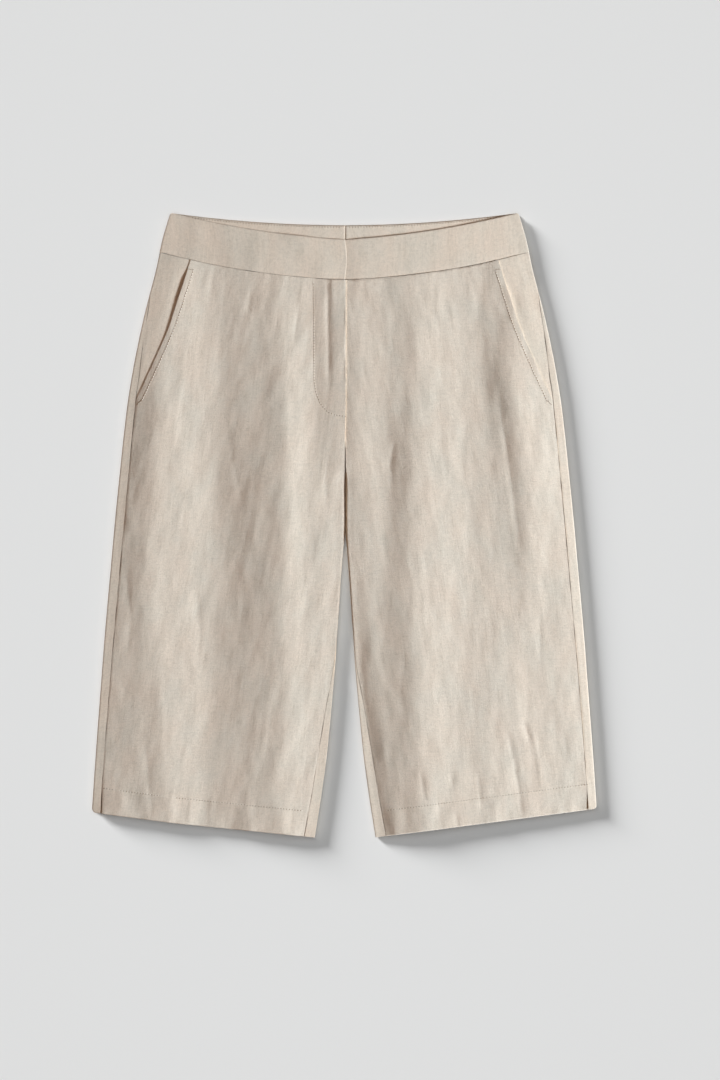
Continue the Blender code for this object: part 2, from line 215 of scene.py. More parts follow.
# Soft folds of the front: ridges and troughs from side to side
foldEdge = {
    "outer": 6.0,         # height of the cloth at the outer edges
    "inner": 6.0,         # and at the inner ones
    "innerRim": 2.88,     # least rise of the right leg's inner edge over the fold's middle
    "lapRise": 1.0,       # how much higher the inner edges lie from the fly up
    "calm": 14.0,         # smoothing along a ridge or trough
    "blur": 4.5,          # and of the whole cloth
    "round": 0.35,        # 0 is straight from ridge to trough, 1 a full wave
    "stretch": 1.12,      # of the ridges' and troughs' heights
    "slope": 1.7,         # how far the left leg's inner edge lies lower
    "slopeWidth": 24.0,
    "slopeEnds": (-150, -30),  # full below the first, none above the second
}
foldRows = (300, 231, 149, 67, -15, -98, -180, -262, -330)
foldLines = {  # (x, height of the cloth) at each of foldRows
    "rightRidge": [(-174, 6.6), (-172, 6.8), (-189, 8.2), (-195, 8.4), (-201, 8.4), (-206, 7.9),
                   (-188, 7.8), (-182, 8.2), (-180, 8.0)],
    "rightTrough": [(-136, 6.2), (-130, 5.4), (-128, 4.6), (-132, 4.4), (-130, 4.4), (-134, 4.4),
                    (-138, 5.2), (-144, 5.8), (-144, 5.8)],
    "rightInnerRidge": [(-62, 6.7), (-66, 6.9), (-61, 7.6), (-60, 9.1), (-61, 9.0), (-63, 8.6), (-58, 8.5),
                        (-67, 8.5), (-70, 8.2)],
    "flyTrough": [(-30, 6.0), (-30, 5.9), (-30, 5.4), (-32, 6.8), (-40, 7.2), (-36, 7.0), (-32, 6.6),
                  (-34, 6.6), (-38, 6.4)],
    "centreRight": [],  # these two follow the inner edges
    "centreLeft": [],
    "leftInnerRidge": [(12, 6.4), (12, 6.4), (18, 6.6), (30, 6.4), (34, 6.6), (27, 6.2), (26, 5.9),
                       (25, 5.4), (30, 5.4)],
    "leftInnerTrough": [(38, 6.2), (38, 6.2), (42, 6.2), (42, 6.0), (42, 6.3), (36, 6.4), (42, 6.6),
                        (28, 5.6), (34, 5.6)],
    "leftRidge": [(72, 6.8), (78, 7.0), (74, 7.3), (69, 8.7), (70, 8.4), (72, 8.8), (74, 9.0), (80, 9.0),
                  (84, 8.8)],
    "leftTrough": [(120, 6.2), (122, 5.6), (126, 5.2), (130, 6.4), (132, 5.8), (130, 6.0), (118, 7.2),
                   (108, 7.9), (110, 7.6)],
    "leftShelf": [(140, 6.0), (140, 5.4), (140, 5.2), (152, 6.8), (164, 6.4), (166, 6.3), (170, 7.2),
                  (166, 7.3), (170, 7.0)],
    "leftOuterRidge": [(176, 6.4), (172, 6.6), (170, 8.4), (185, 8.9), (190, 8.0), (192, 6.6), (194, 6.5),
                       (196, 6.8), (200, 7.0)],
}
mapLow = np.array([-280.0, -350.0])
mapColumns, mapRows = 561, 701  # one cell is a millimetre
columnX = mapLow[0] + np.arange(mapColumns)
rowY = mapLow[1] + np.arange(mapRows)


def blurred(field, across, along):
    rows = np.apply_along_axis(calmed, 1, field, across)
    return np.apply_along_axis(calmed, 0, rows, along)


def grain(seed, across, along):  # seeded noise drawn out along the leg, with a spread of one
    noise = np.random.default_rng(seed).standard_normal((mapRows, mapColumns))
    soft = blurred(noise, across, along)
    return soft / soft.std()


def sample(field, x, y):
    column = np.clip(x - mapLow[0], 0, mapColumns - 1.001)
    row = np.clip(y - mapLow[1], 0, mapRows - 1.001)
    c, r = column.astype(int), row.astype(int)
    u, v = column - c, row - r
    low = field[r, c] * (1 - u) + field[r, c + 1] * u
    high = field[r + 1, c] * (1 - u) + field[r + 1, c + 1] * u
    return low * (1 - v) + high * v


innerTop = foldEdge["inner"] + foldEdge["lapRise"] * ease(20, 90, rowY)


def foldMap():
    lines = [(-outline(rowY), np.full(mapRows, foldEdge["outer"]))]
    for name, points in foldLines.items():
        if name == "centreRight":
            lines.append((centreX - gapAt(rowY) - 1, innerTop))
        elif name == "centreLeft":
            lines.append((centreX + gapAt(rowY) + 1, innerTop))
        else:
            xs, tops = np.array(points[::-1], float).T
            tops = foldEdge["outer"] + (tops - foldEdge["outer"]) * foldEdge["stretch"]
            lines.append([calmed(np.interp(rowY, foldRows[::-1], values), foldEdge["calm"])
                          for values in (xs, tops)])
    lines.append((outline(rowY), np.full(mapRows, foldEdge["outer"])))
    places = np.maximum.accumulate(np.array([line[0] for line in lines]), axis=0)
    tops = np.array([line[1] for line in lines])
    field = np.empty((mapRows, mapColumns))
    for row in range(mapRows):
        across = places[:, row] + np.arange(len(places)) * 1e-4
        k = np.clip(np.searchsorted(across, columnX) - 1, 0, len(across) - 2)
        share = np.clip((columnX - across[k]) / (across[k + 1] - across[k]), 0, 1)
        share += (ease(0, 1, share) - share) * foldEdge["round"]
        field[row] = tops[k, row] + (tops[k + 1, row] - tops[k, row]) * share
    return field


# Crinkles: height, seed, width across and along, and how they lean
crinkles = {
    "broad": (0.21, 11, 13, 46, 0),
    "slant": (0.16, 14, 9, 26, 0.22),
    "crease": (0.34, 15, 17, 52, -0.06),
    "mid": (0.105, 12, 4.5, 13, -0.15),
    "fine": (0.055, 13, 2.2, 6, 0),
}
drift = {"wander": 3.5, "splay": 0.12, "hemRipple": 0.16}  # folds stray, threads spread to the hem
columnGrid, rowGrid = np.meshgrid(columnX, rowY)
wander = drift["wander"] * grain(3, 45, 60)
legSide = np.where(columnGrid < centreX, -1.0, 1.0)
splayedX = columnGrid + legSide * drift["splay"] * rowGrid
drape = sample(foldMap(), columnGrid + wander, rowGrid)
drape = blurred(drape, foldEdge["blur"], foldEdge["blur"])
for name, (height, seed, across, along, lean) in crinkles.items():
    waves = sample(grain(seed, across, along), splayedX + lean * rowGrid, rowGrid)
    if name == "crease":  # turned up on both sides of narrow valleys
        waves = np.sqrt(waves**2 + 0.03)
    drape += height * waves


# Single creases: the path from one end to the other, width, and depth (negative stands up)
creases = [
    ([(-17.4, 262), (-17.0, 225), (-16.4, 180), (-15.8, 123)], 3.2, 0.60),
    ([(-12.6, 258), (-12.2, 225)], 2.6, -0.25),
    ([(182.6, -198), (187, -212), (192.8, -226)], 3.0, 0.55),
    ([(190.5, -203), (196, -225), (200, -248), (203, -274)], 3.4, -0.40),
    ([(164, -196), (170, -224), (175, -247), (180.5, -283), (186, -312)], 3.4, 0.50),
    ([(200, -84), (201, -110), (200, -140)], 3.0, 0.40),
    ([(-206.5, -208), (-203, -240), (-200, -275), (-197, -308)], 3.6, 0.30),
    ([(78, -252), (80, -268), (83, -286)], 3.0, 0.45),
    ([(110, -252), (110.5, -270)], 3.0, 0.40),
    ([(113.5, -292), (117.5, -317)], 3.0, 0.40),
    ([(136, -249), (139, -272), (140.5, -300)], 3.0, 0.40),
    ([(-17, 80), (-19, 48), (-18, 12)], 3.2, 0.40),
    ([(-44, 236), (-50, 205), (-53, 176)], 3.6, 0.35),
    ([(-96, 244), (-99, 214)], 3.4, 0.35),
    ([(-121, 120), (-116, 70), (-104, 20), (-98, -46)], 4.6, 0.20),
    ([(52, 92), (47, 62), (50, 30)], 3.6, 0.40),
    ([(158, 160), (160, 118), (168, 60), (178, -10), (184, -44)], 4.4, 0.50),
    ([(-152, -60), (-148, -112), (-152, -160)], 4.2, 0.35),
    ([(64, -120), (57, -170), (60, -214)], 4.2, 0.12),
    ([(182, 262), (186, 235), (194, 198)], 6.0, -0.55),
    ([(174, 268), (178, 254), (182, 240)], 4.0, 0.45),
    ([(-226, -40), (-219, -92), (-222, -140)], 4.0, 0.25),
]


def lengthAlong(corners):
    return np.concatenate([[0], np.cumsum(np.hypot(*np.diff(corners, axis=0).T))])


# Lowers the cloth along a path, sharpest at its middle and fading at both ends
def press(path, width, depth, ends=(0.3, 0.35)):
    corners = np.array(path, float)
    low, high = corners.min(axis=0) - 4 * width, corners.max(axis=0) + 4 * width
    rows, columns = np.meshgrid(np.flatnonzero((rowY > low[1]) & (rowY < high[1])),
                                np.flatnonzero((columnX > low[0]) & (columnX < high[0])), indexing="ij")
    spots = np.stack([columnX[columns], rowY[rows]], axis=2)
    reach = lengthAlong(corners)
    nearest, at = np.full(rows.shape, 1e9), np.zeros(rows.shape)
    for k in range(len(corners) - 1):
        run = corners[k + 1] - corners[k]
        share = np.clip(((spots - corners[k]) @ run) / (run @ run), 0, 1)
        far = np.linalg.norm(spots - corners[k] - share[..., None] * run, axis=2)
        closer = far < nearest
        nearest = np.where(closer, far, nearest)
        at = np.where(closer, reach[k] + share * np.linalg.norm(run), at)
    fade = ease(0, reach[-1] * ends[0], at) * (1 - ease(reach[-1] * (1 - ends[1]), reach[-1], at))
    # sharp sides down to a slightly rounded bottom, as deep as asked there
    drape[rows, columns] -= depth * fade * np.exp(-np.sqrt((nearest / width * 1.6) ** 2 + 0.09) + 0.3)


for path, width, depth in creases:
    press(path, width, depth)
flyStitch = [(-31.8, 250), (-31.2, 200), (-31, 149), (-29.2, 136),
             (-24, 123.5), (-18, 116.7), (-11.7, 113.3), (0.6, 111.5)]
press(flyStitch, 2.2, 0.16, (0.02, 0.08))
broadDents = sample(grain(21, 16, 60), splayedX, rowGrid)
smallDents = sample(grain(22, 5, 25), splayedX, rowGrid)
backDents = np.clip(0.5 * broadDents + 0.12 * smallDents, 0, 0.8)
hemRipples = grain(17, 4.5, 9)
print("folds laid")


# Where the cloth lies
pocket = {
    "frontRise": 0.45,    # the front stands a little proud along the opening
    "hipSink": 0.6,       # and the hip piece lies lower
    "closed": 0.55,       # share of both at the left pocket
    "gape": 2.3,          # how far the right pocket stands open
    "gapeFoot": (182, 244),  # it opens over the first stretch
    "gapeTop": (250, 266),   # and closes over the second
    "dimple": 1.5,        # a dent in the left hip piece
    "dimpleAt": (230, -3),   # how far up it is, and how far in from the opening
    "dimpleSize": (14, 4.5),
    "hipSlope": 13.0,
    "stitchInset": 6.6,
}
radius = cut["foldRadius"]
quarter = radius * math.pi / 2
edgeBlend = 8.0  # the rise of a folded edge dies out over this


# How far in from the edge a point lies, this far round the fold from its outermost line
def foldPoint(arc):
    angle = np.clip(arc / radius, -math.pi / 2, math.pi / 2)
    return radius * (1 - np.cos(angle)) + np.maximum(0, np.abs(arc) - quarter)


def arcAt(inset):
    inset = np.maximum(0, inset)
    near = radius * np.arccos(np.clip(1 - inset / radius, -1, 1))
    return np.where(inset < radius, near, quarter + inset - radius)


def rolledAt(y):  # 1 where the inner edges roll under, down the slit and the legs
    return 1 - ease(cut["slitTop"] - 6, cut["slitTop"] + 8, y)


def squared(inset):  # rise of the folded edge, pressed squarer than a half circle
    out = np.clip(1 - inset / radius, 0, 1)
    return radius * (1 - out**cut["pressed"]) ** (1 / cut["pressed"])


# Height of the upper face where it comes up round a fold
def overFold(top, inset, rolled=1.0, rise=1.0, least=0.0):
    bow = radius + np.maximum(squared(inset), least) * rise
    share = rolled * (1 - ease(radius * 0.6, radius + edgeBlend, inset))
    return top + share * (bow - top)


def innerInset(x, y):
    return np.abs(x - centreX) - gapAt(y)


def clothTop(x, y):  # upper face of one layer at the front
    top = sample(drape, x, y)
    inset = innerInset(x, y)
    slope = foldEdge["slope"] * (x > centreX) * (1 - ease(*foldEdge["slopeEnds"], y))
    top = top - slope * (1 - ease(0, foldEdge["slopeWidth"], inset))
    least = np.where(x < centreX, foldEdge["innerRim"], 0)
    top = overFold(top, inset, rolledAt(y), 1 - slope / radius, least)
    return overFold(top, outline(y) - np.abs(x))


def pocketRise(x, y):
    rise = pocket["frontRise"] * np.where(x > 0, pocket["closed"], 1)
    onFront = ease(-22, -1, np.abs(x) - pocketEdge(y))
    return rise * onFront * ease(cut["pocketFoot"] - 12, cut["pocketFoot"] + 26, y)


def overLap(x):  # 1 where the left side is covered by the right one's lap
    return 1 - ease(cut["lapX"] - 12, cut["lapX"] + 16, x)


def rightFrontTop(x, y):
    return clothTop(x, y) + pocketRise(x, y)


def leftFrontTop(x, y):
    under = overLap(x) * ease(50, 90, y)
    return clothTop(x, y) - cut["lapLayer"] * under + pocketRise(x, y)


def hipTop(x, y):
    inward = pocketEdge(y) - np.abs(x)
    gape = pocket["gape"] * (x < 0) * ease(*pocket["gapeFoot"], y) * (1 - ease(*pocket["gapeTop"], y))
    hipSink = pocket["hipSink"] * np.where(x > 0, pocket["closed"], 1)
    sink = (hipSink + gape) * ease(-pocket["hipSlope"], 1, inward)
    sink = sink + np.maximum(0, cut["layer"] - hipSink - gape) * ease(0, 12, inward)
    (dentY, dentIn), (tall, wide) = pocket["dimpleAt"], pocket["dimpleSize"]
    dent = np.exp(-((y - dentY) / tall) ** 2 - ((inward - dentIn) / wide) ** 2)
    dimple = pocket["dimple"] * (x > 0) * dent
    return clothTop(x, y) - sink - dimple


def backBottom(x, y):
    fromOuter = outline(y) - np.abs(x)
    fromInner = innerInset(x, y) + 14 * (1 - rolledAt(y))  # only a folded edge calms the dents
    return sample(backDents, -x, y) * (ease(2, 14, fromOuter) * ease(2, 14, fromInner))


# Building a closed wall of cloth from the grid of its outer face
def outward(grid, facing):
    across = np.gradient(grid, axis=1, edge_order=1)  # 2 turns the normal where columns crowd at a fold
    down = np.gradient(grid, axis=0, edge_order=2)
    normal = facing * np.cross(across, down)
    return normal / np.maximum(np.linalg.norm(normal, axis=2, keepdims=True), 1e-9)


def addCloth(name, grid, facing, thickness, weave, material):
    rows, columns = grid.shape[:2]
    inside = grid - outward(grid, facing) * thickness[..., None]
    points = np.concatenate([grid.reshape(-1, 3), inside.reshape(-1, 3)]) * mm
    under = rows * columns
    index = np.arange(under).reshape(rows, columns)
    quads = np.stack([index[:-1, :-1], index[:-1, 1:], index[1:, 1:], index[1:, :-1]], axis=2).reshape(-1, 4)
    rim = np.concatenate([index[0, :], index[1:, -1], index[-1, -2::-1], index[-2:0:-1, 0]])
    after = np.roll(rim, -1)
    walls = np.stack([after, rim, rim + under, after + under], axis=1)
    faces = np.concatenate([quads, quads[:, ::-1] + under, walls])
    if facing < 0:
        faces = faces[:, ::-1]
    mesh = bpy.data.meshes.new(name)
    mesh.vertices.add(len(points))
    mesh.vertices.foreach_set("co", points.ravel())
    mesh.loops.add(faces.size)
    mesh.loops.foreach_set("vertex_index", faces.ravel().astype(np.int32))
    mesh.polygons.add(len(faces))
    mesh.polygons.foreach_set("loop_start", np.arange(0, faces.size, 4, dtype=np.int32))
    mesh.polygons.foreach_set("loop_total", np.full(len(faces), 4, np.int32))
    mesh.update(calc_edges=True)
    both = np.concatenate([weave.reshape(-1, 2), weave.reshape(-1, 2)]) * mm
    mesh.uv_layers.new(name="grain").data.foreach_set("uv", both[faces.ravel()].ravel())
    mesh.shade_smooth()
    onRim = np.zeros(len(points), bool)
    onRim[rim] = onRim[rim + under] = True
    ends = np.empty(len(mesh.edges) * 2, np.int32)
    mesh.edges.foreach_get("vertices", ends)
    ends = ends.reshape(-1, 2)
    sharp = onRim[ends[:, 0]] & onRim[ends[:, 1]] & ((ends[:, 0] < under) == (ends[:, 1] < under))
    mesh.attributes.new("sharp_edge", "BOOLEAN", "EDGE").data.foreach_set("value", sharp)
    mesh.materials.append(material)
    print(name, len(faces) * 2, "triangles")
    return addObject(name, mesh)


# How finely the cloth is divided
nearEdge = np.array([0.0, 0.35, 0.8, 1.4, 2.1, 3.0, 4.2, 5.8])  # lines this far in from an edge
divide = {
    "legLength": 575.0,
    "legWidth": 222,
    "spacing": 2.05,      # between lines on the fronts
    "backSpacing": 2.6,
    "wrapSteps": 18,      # round a fold of the back
    "guess": (260.0, -310.0),  # first top and foot of every column
    "settle": 7,          # rounds until the rows meet the slanting columns
}


def legRows():  # shares of the way from the waist seam to the hem, closer together at both ends
    fine = nearEdge / divide["legLength"]
    count = int(divide["legLength"] / divide["spacing"])
    middle = np.linspace(fine[-1], 1 - fine[-1], count)[1:-1]
    return np.concatenate([fine, middle, (1 - fine)[::-1]])


def hemBase(x):  # the right leg's hem hangs a little lower towards its outer side
    return hemLine(np.abs(x)) - cut["hemSag"] * ease(20, 190, -x)


def hemAt(x, y):  # the hem, with its outer corners rounded off
    corner = np.where(x < 0, *cut["hemCorners"])
    within = np.clip(outline(y) - np.abs(x), 0, corner)
    return hemBase(x) + corner - np.sqrt(corner**2 - (corner - within) ** 2)


def crossed(lines, topLine, footLine, shares, guess):  # where the rows cross the columns
    columns = []
    for lineX in lines:
        y = guess
        for _ in range(divide["settle"]):
            x = lineX(y)
            top = topLine(np.abs(x)) - seamOpen(x, 7)
            y = top + (footLine(x, y) - top) * shares
        columns.append(np.stack([lineX(y), y], axis=1))
    return np.stack(columns, axis=1)


def legCrossed(lines, topLine):
    shares = legRows()
    return crossed(lines, topLine, hemAt, shares, np.interp(shares, [0, 1], divide["guess"]))


def hemShare(x, y):
    return 1 - ease(cut["hemDepth"] - 2, cut["hemDepth"] + 2, y - hemBase(x))


def wallAt(x, y):
    return cut["wall"] + (cut["turnedWall"] - cut["wall"]) * hemShare(x, y)


# How far in from each edge the cloth is rounded
rounding = {"pocketRight": 0.4, "pocketLeft": 0.12, "lap": 0.5, "frontHem": 1.1, "backHem": 1.0,
            "bandTop": 1.0, "bandEnd": 1.1}


def edgeDrop(distance, roundness):  # how far a rounded edge falls below the flat, this far in
    within = np.clip(distance, 0, roundness)
    return roundness - np.sqrt(np.maximum(0, roundness**2 - (roundness - within) ** 2))


seam = {
    "sideDepth": {"front": (0.08, 0.0), "back": (0.03, 0.40)},  # beside the side seam, right and left
    "depth": 0.30,        # dip beside the waist seam
    "width": 1.0,
    "soft": 0.06,         # and a wider, softer one
    "softWidth": 5.0,
    "uneven": 0.5,
    "open": {-1: 0.19, 1: 0.28, 7: 0.20},  # half a groove: right leg, left leg, waist
    "openUneven": 0.12,
}
half = cut["seamGap"] / 2


def uneven(along, seed, width, lively):  # a wave that changes along a seam
    noise = np.random.default_rng(seed).standard_normal(mapRows)
    return np.interp(along, rowY, calmed(noise, width) * lively)


# A seam draws the cloth down beside it, more in some places than in others
def seamDip(distance, along, seed, drawn=1.0):
    pull = np.clip(uneven(along, seed, 9, 5), -1.5, 1.5)
    depth = drawn * seam["depth"] * (1 + seam["uneven"] * pull)
    soft = seam["soft"] * np.exp(-(distance / seam["softWidth"]) ** 2)
    return depth * np.exp(-(distance / seam["width"]) ** 2) + soft


def sideSeamDip(distance, y, side, piece):
    return seamDip(distance, y, 31 + side, seam["sideDepth"][piece][side > 0] / seam["depth"])


# Half the width of a seam's groove, wider in some places than in others
def seamOpen(along, seed, inset=9.0):
    pull = np.clip(uneven(along, seed + 100, 5, 4), -1.2, 1.5)
    return seam["open"][seed] + seam["openUneven"] * pull * ease(1, 4, inset)


def outerEdgeAt(y):  # of the front: pocket opening above, side seam below
    return np.minimum(pocketEdge(y), sideSeam(y))


def between(firstLine, lastLine, count):  # lines evenly spaced between those two
    def lineAt(part):
        def lineX(y):
            first, last = firstLine(y), lastLine(y)
            return first + (last - first) * part
        return lineX

    return [lineAt(part) for part in np.linspace(0, 1, count + 2)[1:-1]]


def frontGrid(side):
    inner = leftInner if side > 0 else rightInner

    def outerLine(step):
        def lineX(y):
            inset = outline(y) - outerEdgeAt(y)
            start = arcAt(inset) + seamOpen(y, side, inset)
            return side * (outline(y) - foldPoint(start + step))
        return lineX

    def innerLine(step):
        def lineX(y):
            edge = side * (inner(y) - centreX) - gapAt(y)
            onFold = centreX + side * (gapAt(y) + foldPoint(arcAt(edge) + seamOpen(y, side) + step))
            return np.where(y > cut["lapFoot"], inner(y) + side * (half + step), onFold)
        return lineX

    count = int(divide["legWidth"] / divide["spacing"])
    lines = [outerLine(step) for step in nearEdge]
    lines += between(lines[-1], innerLine(nearEdge[-1]), count)
    lines += [innerLine(step) for step in nearEdge[::-1]]
    flat = legCrossed(lines, frontSeam)
    x, y = flat[..., 0], flat[..., 1]
    z = (leftFrontTop if side > 0 else rightFrontTop)(x, y)
    fromOuter = np.abs(np.abs(x) - outerEdgeAt(y))
    isSeam = 1 - ease(cut["pocketFoot"] - 6, cut["pocketFoot"] + 2, y)
    onTop = ease(3, 7, outline(y) - np.abs(x))
    z -= isSeam * onTop * sideSeamDip(fromOuter, y, side, "front")
    z -= (1 - isSeam) * edgeDrop(fromOuter, rounding["pocketLeft" if side > 0 else "pocketRight"])
    fromSeam = frontSeam(np.abs(x)) - y
    z -= seamDip(fromSeam, x, 41 + side)
    if side < 0:
        onLap = ease(cut["lapFoot"] - 4, cut["lapFoot"] + 6, y)
        z -= 0.1 * onLap * edgeDrop(np.abs(x - inner(y)), rounding["lap"])
    z += hemShare(x, y) * drift["hemRipple"] * sample(hemRipples, x, y)
    z -= edgeDrop(y - hemAt(x, y), rounding["frontHem"])
    return np.stack([x, y, z], axis=2)


def backGrid(side):
    steps = divide["wrapSteps"]
    wrap = range(steps + 1)

    def curl(y):  # 1 down the leg, where the back wraps round the inner fold too
        return 1 - ease(cut["crotch"] - 10, cut["crotch"] + 8, y)

    def innerLeg(y):
        return side * (np.where(side > 0, leftInner(y), rightInner(y)) - centreX) - gapAt(y)

    def lower(inset):
        return radius - squared(inset)

    # from the seam on top, round the fold, to a little way in underneath
    def roundFold(inset, y, k):
        start = arcAt(inset) - seamOpen(y, side, inset)
        return start + (-quarter - cut["tuck"] - start) * k / steps

    def outerArc(y, k):
        return roundFold(outline(y) - sideSeam(y), y, k)

    def innerArc(y, k):
        return roundFold(np.maximum(0, innerLeg(y)), y, k)

    def outerLine(k):
        return lambda y: side * (outline(y) - foldPoint(outerArc(y, k)))

    def innerLine(k):
        def lineX(y):
            edge = half + curl(y) * (gapAt(y) - half)
            flatInset = (radius + cut["tuck"]) * k / steps
            inset = flatInset + curl(y) * (foldPoint(innerArc(y, k)) - flatInset)
            return centreX + side * (edge + inset)
        return lineX

    lines = [outerLine(k) for k in wrap]
    lines += between(lines[-1], innerLine(steps), int(divide["legWidth"] / divide["backSpacing"]))
    lines += [innerLine(k) for k in reversed(wrap)]
    flat = legCrossed(lines, backSeam)
    x, y = flat[..., 0], flat[..., 1]
    z = backBottom(x, y)
    tucked = radius + foldEdge["innerRim"] - cut["wall"] - 0.15  # just under the front's rim
    for k in wrap:
        atX, atY = x[:, k], y[:, k]
        arc = outerArc(atY, k)
        inset = foldPoint(arc)
        fromSeam = arcAt(outline(atY) - sideSeam(atY)) - arc
        top = clothTop(atX, atY) - ease(3, 7, inset) * sideSeamDip(fromSeam, atY, side, "back")
        z[:, k] = np.where(arc > 0, top, np.maximum(z[:, k], lower(inset)))
        column = -1 - k
        atX, atY = x[:, column], y[:, column]
        arc = innerArc(atY, k)
        curled = np.where(arc > 0, clothTop(atX, atY), lower(foldPoint(arc)))
        if side < 0:  # tucked under the front's rim where the seam runs along the edge
            curled = np.maximum(curled, tucked) if k == 0 else curled
            above = np.maximum(0, curled - tucked) * ease(1.2, 3.0, innerLeg(atY))
            curled = np.minimum(curled, tucked + above)
        z[:, column] += (curled - z[:, column]) * curl(atY)
    z += edgeDrop(y - hemAt(x, y), rounding["backHem"]) * np.where(z < radius, 1, -1)
    return np.stack([x, y, z], axis=2)


hipCloth = {"under": 27, "columns": 25, "rows": 80, "foot": 0.3}  # under: how far in below the front


def hipGrid(side):
    def outerLine(step):
        def lineX(y):
            inset = outline(y) - sideSeam(y)
            return side * (outline(y) - foldPoint(arcAt(inset) + seamOpen(y, side, inset) + step))
        return lineX

    def innerLine(y):
        return side * (pocketEdge(y) - hipCloth["under"])

    def footLine(x, y):
        return cut["pocketFoot"] + hipCloth["foot"]

    lines = [outerLine(step) for step in nearEdge]
    lines += between(lines[-1], innerLine, hipCloth["columns"] - 1)
    lines += [innerLine]
    shares = np.linspace(0, 1, hipCloth["rows"])
    flat = crossed(lines, frontSeam, footLine, shares, 270 - 140 * shares)
    x, y = flat[..., 0], flat[..., 1]
    z = hipTop(x, y) - seamDip(frontSeam(np.abs(x)) - y, x, 41 + side)
    return np.stack([x, y, z], axis=2)


band = {
    "length": 190,
    "height": 42,
    "columns": (104, 15, 86),  # along the front, round the fold, along the back
    "top": 5.5,           # height of the front's upper face
    "lapLayer": 2.3,      # how much lower the left half lies under the lap
    "backLift": 1.6,      # how far the back's top edge stands up
    "ripple": 0.45,
    "rippleUneven": 0.68,  # the right half ripples more, the left one less
    "startRight": 0.6,    # where each half starts at the front
    "startLeft": -30.0,
    "bulge": 2.0,         # of the right half's end
    "side": 185.0,
    "corner": 4.5,
    "centreGap": 0.12,
    "groove": 0.9,        # at the seam of the two halves
    "grooveWidth": 0.7,
    "pucker": 0.35,
}
bandRipples = band["ripple"] * grain(51, 7, 14)


def puckers(x):  # small upright waves where the waistband is drawn in at the back
    calm = ease(0, 30, 170 - np.abs(x))
    wave = np.interp(x, columnX, calmed(np.random.default_rng(61).standard_normal(mapColumns), 4.0))
    return calm * np.clip(0.5 + 1.4 * wave, 0, 1.2)


def bandLift(x, side):  # the back of the waistband stands up more towards its middle
    return band["backLift"] * ease(0, 90, side - np.abs(x))


def bandInside(x, y):  # inner face of the back of the waistband, near its top
    return cut["turnedWall"] + 0.87 * bandLift(x, 180) + 0.92 * band["pucker"] * puckers(x)


def bandWall(grid):  # thinner at the centre back, where the two halves are sewn together
    thickness = np.full(grid.shape[:2], cut["turnedWall"])
    fromCentre = np.abs(grid[..., 0] - centreX)
    atBack = np.arange(grid.shape[1]) > grid.shape[1] // 2
    return thickness - band["groove"] * np.exp(-(fromCentre / band["grooveWidth"]) ** 2) * atBack


def bandGrid(side):
    start = band["startRight"] if side < 0 else band["startLeft"]
    upShares = np.concatenate([[0, 0.012, 0.03, 0.06], np.linspace(0.1, 0.9, 20), [0.94, 0.97, 0.988, 1]])
    fine = nearEdge / band["length"]
    alongFront, roundFold, alongBack = band["columns"]
    ringFront = np.concatenate([fine, np.linspace(fine[-1], 1, alongFront)[1:]])
    ringFold = np.linspace(quarter, -quarter, roundFold)
    ringBack = np.concatenate([np.linspace(0, 1 - fine[-1], alongBack), 1 - fine[-2::-1]])
    grid = []
    for share in upShares:
        def yAt(x, lift):
            ends = []
            for foot, top in ((frontSeam, bandFrontTop), (backSeam, bandBackTop)):
                ends.append((foot(np.abs(x)) + cut["seamGap"]) * (1 - share) + top(np.abs(x)) * share)
            front, back = ends
            return back + (front - back) * lift

        sideX = float(outline(yAt(np.array(band["side"]), 0.5))) - radius
        lapAt = start + band["bulge"] * math.sin(math.pi * share) * (side < 0)
        x = lapAt + (side * sideX - lapAt) * ringFront
        y = yAt(x, 1.0)
        z = band["top"] + sample(bandRipples, x, y) * (1.0 - band["rippleUneven"] * side)
        if side > 0:
            z = z - band["lapLayer"] * overLap(x)
        z = overFold(z, outline(y) - np.abs(x))
        tall = bandFrontTop(np.abs(x)) - frontSeam(np.abs(x))
        z = z - edgeDrop((1 - share) * tall, rounding["bandTop"]) - seamDip(share * tall, x, 41 + side)
        if side < 0:
            z = z - edgeDrop(np.abs(x - lapAt), rounding["bandEnd"])
        front = np.stack([x, y, z], axis=1)
        edgeX = sideX + radius
        inset = foldPoint(ringFold)
        height = radius + np.sign(ringFold) * squared(inset)
        foldX = side * (edgeX - inset)
        fold = np.stack([foldX, yAt(foldX, height / (2 * radius)), height], axis=1)
        backX = side * sideX + (centreX + side * band["centreGap"] - side * sideX) * ringBack
        backY = yAt(backX, 0.0)
        fromTop = (1 - share) * (bandBackTop(np.abs(backX)) - backSeam(np.abs(backX)))
        lift = share**3 * bandLift(backX, sideX) + band["pucker"] * share**2 * puckers(backX)
        back = np.stack([backX, backY, lift + 0.2 * edgeDrop(fromTop, rounding["bandTop"])], axis=1)
        ring = np.concatenate([front[:-1], fold, back[1:]])
        ring[:, 1] -= share**2 * edgeDrop(edgeX - np.abs(ring[:, 0]), band["corner"])
        grid.append(ring)
    return np.array(grid)


# Finishes
def setInputs(node, **values):
    for label, value in values.items():
        node.inputs[label.replace("_", " ")].default_value = value


def newGroup(name, outputs, threads=None):
    group = bpy.data.node_groups.new(name, "ShaderNodeTree")
    group.interface.new_socket("Grain", in_out="INPUT", socket_type="NodeSocketVector")
    if threads is not None:
        socket = group.interface.new_socket("Threads", in_out="INPUT", socket_type="NodeSocketFloat")
        socket.default_value = threads
    for label in outputs:
        group.interface.new_socket(label, in_out="OUTPUT", socket_type="NodeSocketFloat")
    start = group.nodes.new("NodeGroupInput")
    end = group.nodes.new("NodeGroupOutput")
    return group, start, end


